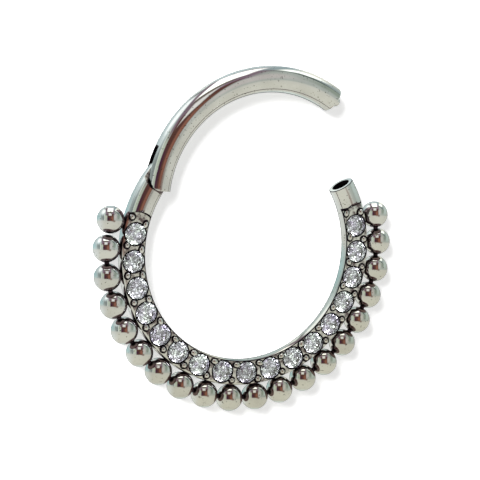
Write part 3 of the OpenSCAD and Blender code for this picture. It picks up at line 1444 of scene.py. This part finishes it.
@dataclass
class Studio:
    """Floor, soft light and the camera at the photo's angle.

    Attributes:
        lay: Where the eye's centre lies in the frame, in metres.
        camera_from: Camera's place from the eye's centre, in millimetres.
        camera_at: The point that it looks at, in millimetres.
        camera_roll: Its roll against an upright +Y, in degrees.
        focal_px: Focal length in pixels of the 480 pixel picture.
        picture_px: Width and height of the picture.
        floor_half: Half of the floor's width, in metres.
        key_at: Where the soft key light hangs, in metres.
        key_size: Its width and height, in metres.
        key_watts: Its power.
        fill_level: Brightness of the even light on the floor.
        wall: Colour of the room where no panel hangs.
        crevice_share: Share of the room's light left after each further mirroring between neighbours.
        crevice_lift: How much brighter than that share the first further mirroring is.
        crevice_cast: Cast of that light.
        steel_share: Share of the light that the polished steel gives back.
        rim_from: Ball radius from which the room behind the ring grows dark.
        rim_colour: Colour of the room straight behind the ring.
        sparkle_cells: How finely the light that the stones throw back is broken up.
        sparkle_level: Brightness of that light.
    """

    lay: Vector
    camera_from: Vector = field(default_factory=lambda: Vector((-36.87, 10.19, 77.0)))
    camera_at: Vector = field(default_factory=lambda: Vector((-0.313, 0.476, 0.0)))
    camera_roll: float = 1.59
    focal_px: float = 1890.6
    picture_px: float = 480.0
    floor_half: float = 1.5
    key_at: tuple[float, float, float] = (-0.38, 0.27, 0.345)
    key_size: tuple[float, float] = (0.26, 0.26)
    key_watts: float = 6.2
    fill_level: float = 0.16
    wall: str = "#a3a9a3"
    crevice_share: float = 0.20
    crevice_lift: float = 2.3
    crevice_cast: str = "#e4c6cf"
    steel_share: float = 0.63
    rim_from: float = 0.943
    rim_colour: str = "#4c4e51"
    sparkle_cells: float = 5.0
    sparkle_level: float = 3.5

    SPARKLE = (
        (0.0, "#6a6b6e"), (0.30, "#a2a4a5"), (0.55, "#c6cac8"), (0.85, "#dfe3e0"), (1.0, "#ffffff"),
    )
    PANELS = (
        # cool walls far behind, paler at the top
        RoomPanel((-0.90, 0.12), (0.22, 0.38), "#9abcbf", soft=0.6, shape=OVAL),
        RoomPanel((-0.62, 0.56), (0.30, 0.30), "#b9c6c7", turn=-38, soft=0.7, shape=OVAL),
        RoomPanel((0.0, 0.94), (0.8, 0.12), "#b9c8c9", soft=0.6),
        RoomPanel((0.75, 0.30), (0.14, 0.30), "#b0bcb7", soft=0.6, shape=OVAL),
        # the left window and its lower end, then the right one with its dark bars and cream head
        RoomPanel((-0.58, 0.42), (0.11, 0.12), "#cfdcdc", turn=-38, soft=0.6, shape=OVAL),
        RoomPanel((-0.47, 0.57), (0.12, 0.17), "#f0f5f4", level=1.15, turn=-38, soft=0.4, shape=OVAL),
        RoomPanel((0.60, 0.47), (0.11, 0.07), "#8f9b9c", turn=-55, soft=0.7, shape=OVAL),
        RoomPanel((0.46, 0.65), (0.14, 0.09), "#f6faf4", level=1.4, turn=-35, soft=0.4, shape=OVAL),
        RoomPanel((0.55, 0.43), (0.18, 0.030), "#4d5a55", turn=-50, soft=0.5),
        RoomPanel((0.36, 0.58), (0.10, 0.026), "#6a7570", turn=-18, soft=0.5),
        RoomPanel((0.50, 0.80), (0.16, 0.05), "#eeeee0", turn=-32, soft=0.6, shape=OVAL),
        # grey walls at both sides of the camera, with a bright and a dark upright at the left
        RoomPanel((-0.50, 0.12), (0.10, 0.18), "#7f8886", soft=0.6, shape=OVAL),
        RoomPanel((-0.385, 0.15), (0.022, 0.20), "#e9efe9", soft=0.6),
        RoomPanel((-0.62, 0.16), (0.018, 0.18), "#727c7c", soft=0.7),
        RoomPanel((0.60, 0.21), (0.09, 0.17), "#879186", soft=0.6, shape=OVAL),
        RoomPanel((-0.30, 0.17), (0.09, 0.20), "#b2bbab", soft=0.5, shape=OVAL),
        RoomPanel((0.37, 0.18), (0.09, 0.20), "#bab6b2", soft=0.5, shape=OVAL),
        # the mauve frame overhead, the bright window in it and the panes beside it
        RoomPanel((-0.02, 0.572), (0.31, 0.272), "#7c6975", turn=4, soft=0.16),
        RoomPanel((-0.38, 0.75), (0.10, 0.03), "#7b7c7e", soft=0.6),
        RoomPanel((0.26, 0.80), (0.07, 0.12), "#93a3a6", turn=-10, soft=0.5),
        RoomPanel((-0.03, 0.53), (0.17, 0.05), "#645f50", soft=0.5),
        RoomPanel((-0.01, 0.69), (0.20, 0.13), "#fbfbf6", level=1.5, soft=0.16),
        RoomPanel((-0.45, 0.834), (0.10, 0.05), "#dfe6e2", soft=0.5),
        RoomPanel((0.03, 0.71), (0.035, 0.02), "#c9c9c5", soft=0.9, shape=OVAL),
        # the pale table, a little lighter to the left and at its near edge
        RoomPanel((0.0, -1.09), (2.0, 1.0), "#bdbdb5", turn=-2, soft=0.05),
        RoomPanel((0.0, -0.50), (0.9, 0.34), "#c6c5b9", soft=0.7, shape=OVAL),
        RoomPanel((-0.85, -0.40), (0.28, 0.40), "#d2d6d3", soft=0.9, shape=OVAL),
        RoomPanel((0.0, -0.98), (0.9, 0.09), "#cbd5cf", soft=0.5),
        # the dark camera side, with the small pale ceiling over it
        RoomPanel((0.03, 0.14), (0.23, 0.25), "#553832", soft=0.14),
        RoomPanel((-0.12, 0.05), (0.07, 0.10), "#43283a", soft=0.6, shape=OVAL),
        RoomPanel((0.16, 0.05), (0.09, 0.17), "#85594a", soft=0.6, shape=OVAL),
        RoomPanel((0.29, -0.12), (0.08, 0.07), "#7d6a62", soft=0.7, shape=OVAL),
        RoomPanel((0.0, 0.365), (0.105, 0.085), "#dcdcd7", soft=0.35),
    )

    def build(self) -> None:
        """Makes the floor, the camera, the room and the key light."""
        self.floor()
        self.camera()
        self.room()
        self.key_light()
        bpy.context.scene.view_settings.view_transform = "Standard"

    def floor(self) -> None:
        """Lays the floor under the ring."""
        bm = bmesh.new()
        bmesh.ops.create_grid(bm, x_segments=1, y_segments=1, size=self.floor_half)
        mesh = bpy.data.meshes.new("floor")
        bm.to_mesh(mesh)
        bm.free()
        mesh.materials.append(PaleFloor().make())
        floor = bpy.data.objects.new("floor", mesh)
        floor.visible_glossy = False
        bpy.context.scene.collection.objects.link(floor)

    def camera_axes(self) -> tuple[Vector, Vector, Vector]:
        """Works out which way the picture lies.

        Returns:
            The picture's right and up, and the way back to the camera.
        """
        back = (self.camera_from - self.camera_at).normalized()
        upright = (Vector((0, 1, 0)) - back * back.y).normalized()
        up = Matrix.Rotation(math.radians(self.camera_roll), 3, back) @ upright
        return up.cross(back), up, back

    def camera(self) -> None:
        """Sets the camera where the photo was taken from."""
        data = bpy.data.cameras.new("camera")
        data.sensor_width = 36.0
        data.lens = self.focal_px / self.picture_px * data.sensor_width
        data.clip_start, data.clip_end = 0.002, 10.0
        made = bpy.data.objects.new("camera", data)
        basis = Matrix(self.camera_axes()).transposed().to_4x4()
        made.matrix_world = Matrix.Translation(self.lay + self.camera_from * MM) @ basis
        bpy.context.scene.collection.objects.link(made)
        bpy.context.scene.camera = made

    def key_light(self) -> None:
        """Hangs the soft key light, facing the ring and left out of the mirrors."""
        data = bpy.data.lights.new("left_key", "AREA")
        data.shape = "RECTANGLE"
        data.size, data.size_y = self.key_size
        data.energy = self.key_watts
        made = bpy.data.objects.new("left_key", data)
        made.location = self.key_at
        made.rotation_mode = "QUATERNION"
        made.rotation_quaternion = Vector(self.key_at).to_track_quat("Z", "Y")
        made.visible_camera = False
        made.visible_glossy = False
        bpy.context.scene.collection.objects.link(made)

    def room(self) -> None:
        """Paints the room that the steel mirrors, and the even light that falls on the floor."""
        world = bpy.data.worlds.new("room")
        world.use_nodes = True
        tree = world.node_tree
        tree.nodes.clear()
        way = add_node(tree, "TexCoord").outputs["Generated"]
        rays = add_node(tree, "LightPath")
        # a ray that has gone into a stone at least once looks up the sparkle
        in_stone = calculate(tree, "GREATER_THAN", rays.outputs["Transmission Depth"], 0.5)
        seen = add_node(
            tree, "MixShader",
            inputs={0: in_stone, 1: self.mirrored(tree, way, rays), 2: self.sparkle(tree, way)},
        )
        # the camera and the matt floor see even white light instead, the floor less of it
        camera_ray = rays.outputs["Is Camera Ray"]
        level = add_node(
            tree, "MapRange", inputs={"Value": camera_ray, "To Min": self.fill_level, "To Max": 1.0},
        )
        white = {"Color": linear("#ffffff"), "Strength": level.outputs[0]}
        even = add_node(tree, "Background", inputs=white)
        plain = calculate(tree, "MAXIMUM", rays.outputs["Is Diffuse Ray"], camera_ray)
        mix = add_node(tree, "MixShader", inputs={0: plain, 1: seen.outputs[0], 2: even.outputs[0]})
        add_node(tree, "OutputWorld", inputs={"Surface": mix.outputs[0]})
        bpy.context.scene.world = world

    def mirrored(self, tree: NodeTree, way: NodeSocket, rays: Node) -> NodeSocket:
        """What the steel mirrors: the panels, darker and purple from the second mirroring on.

        Args:
            tree: The world's node tree.
            way: The direction that is looked up.
            rays: The Light Path node.

        Returns:
            The light that comes from there.
        """
        right, up, back = self.camera_axes()
        # a ball faces half way between the camera and what it mirrors
        facing = add_node(tree, "VectorMath", {"operation": "ADD"}, {0: way, 1: back}).outputs[0]
        facing = add_node(tree, "VectorMath", {"operation": "NORMALIZE"}, {0: facing}).outputs[0]
        across, rise = (measure(tree, "DOT_PRODUCT", facing, axis) for axis in (right, up))
        on_ball = add_node(tree, "CombineXYZ", inputs={"X": across, "Y": rise}).outputs[0]
        colour = linear(self.wall)
        for panel in self.PANELS:
            colour = self.paint(tree, on_ball, colour, panel)
        behind = smooth_rise(tree, measure(tree, "LENGTH", on_ball), self.rim_from, 1.0)
        colour = blend(tree, colour, linear(self.rim_colour), behind, "MIX")
        # how many times the light was mirrored between neighbours before the last time
        further = calculate(tree, "SUBTRACT", rays.outputs["Glossy Depth"], 1.0)
        further = calculate(tree, "MAXIMUM", further, 0.0)
        kept = calculate(tree, "POWER", self.crevice_share, further)
        kept = calculate(tree, "MINIMUM", calculate(tree, "MULTIPLY", kept, self.crevice_lift), 1.0)
        again = calculate(tree, "MINIMUM", further, 1.0)
        colour = blend(tree, colour, linear(self.crevice_cast), again)
        strength = calculate(tree, "MULTIPLY", kept, 1 / self.steel_share)
        return add_node(tree, "Background", inputs={"Color": colour, "Strength": strength}).outputs[0]

    def sparkle(self, tree: NodeTree, way: NodeSocket) -> NodeSocket:
        """The broken light that the stones throw back.

        Args:
            tree: The world's node tree.
            way: The direction that is looked up.

        Returns:
            The light that comes from there.
        """
        cells = add_node(tree, "TexVoronoi", inputs={"Vector": way, "Scale": self.sparkle_cells})
        colour = ramp(tree, cells.outputs["Color"], self.SPARKLE)
        light = add_node(tree, "Background", inputs={"Color": colour, "Strength": self.sparkle_level})
        return light.outputs[0]

    def paint(self, tree: NodeTree, on_ball: NodeSocket, under: Source, panel: RoomPanel) -> NodeSocket:
        """Lays one panel over the room's colour.

        Args:
            tree: The world's node tree.
            on_ball: Where a ball mirrors this direction, in ball radii.
            under: The colour so far.
            panel: The panel.

        Returns:
            The new colour.
        """
        local = add_node(
            tree, "Mapping", {"vector_type": "TEXTURE"},
            {
                "Vector": on_ball,
                "Location": (*panel.at, 0),
                "Rotation": (0, 0, math.radians(panel.turn)),
                "Scale": (*panel.half, 1),
            },
        ).outputs[0]
        if panel.shape is OVAL:
            reach = measure(tree, "LENGTH", local)
        else:
            size = add_node(tree, "VectorMath", {"operation": "ABSOLUTE"}, {0: local}).outputs[0]
            sides = add_node(tree, "SeparateXYZ", inputs={0: size}).outputs
            reach = calculate(tree, "MAXIMUM", sides["X"], sides["Y"])
        inside = smooth_rise(tree, reach, 1 + panel.soft, 1 - panel.soft)
        red, green, blue, _ = linear(panel.colour)
        lit = (red * panel.level, green * panel.level, blue * panel.level, 1.0)
        return blend(tree, under, lit, inside, "MIX")


def dress_stones(frame: dict) -> None:
    """Gives every stone of the frame the cut zirconia finish.

    Args:
        frame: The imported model.
    """
    zirconia = Zirconia().make()
    for name, stone in frame["nodes"].items():
        if name.startswith("stone_"):
            stone.data.materials.clear()
            stone.data.materials.append(zirconia)


def main() -> None:
    """Builds the ring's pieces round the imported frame, then the studio."""
    logging.basicConfig(level=logging.INFO, format="%(name)s: %(message)s", force=True)
    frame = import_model()
    sizes = RingSizes()
    low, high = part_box("hinge_pin")
    lay = (low + high) / 2 - sizes.pin_at * MM
    steel = [finish.make() for finish in (POLISHED_STEEL, MILLED_STEEL, HOLLOW_SHADE_STEEL, SOLDER)]
    for body, node, maker in (
        ("band", "beaded_band", BeadedBand(sizes, lay, steel)),
        ("arc", "closing_arc", ClosingArc(sizes, lay, steel)),
        ("arc", "hinge_pin", HingePin(sizes, lay, steel)),
    ):
        piece = maker.build()
        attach(piece, body)
        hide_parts(node)
        triangles = sum(len(face.vertices) - 2 for face in piece.data.polygons)
        LOG.info("%s: %d triangles", piece.name, triangles)
    dress_stones(frame)
    Studio(lay).build()


if __name__ == "__main__":
    main()
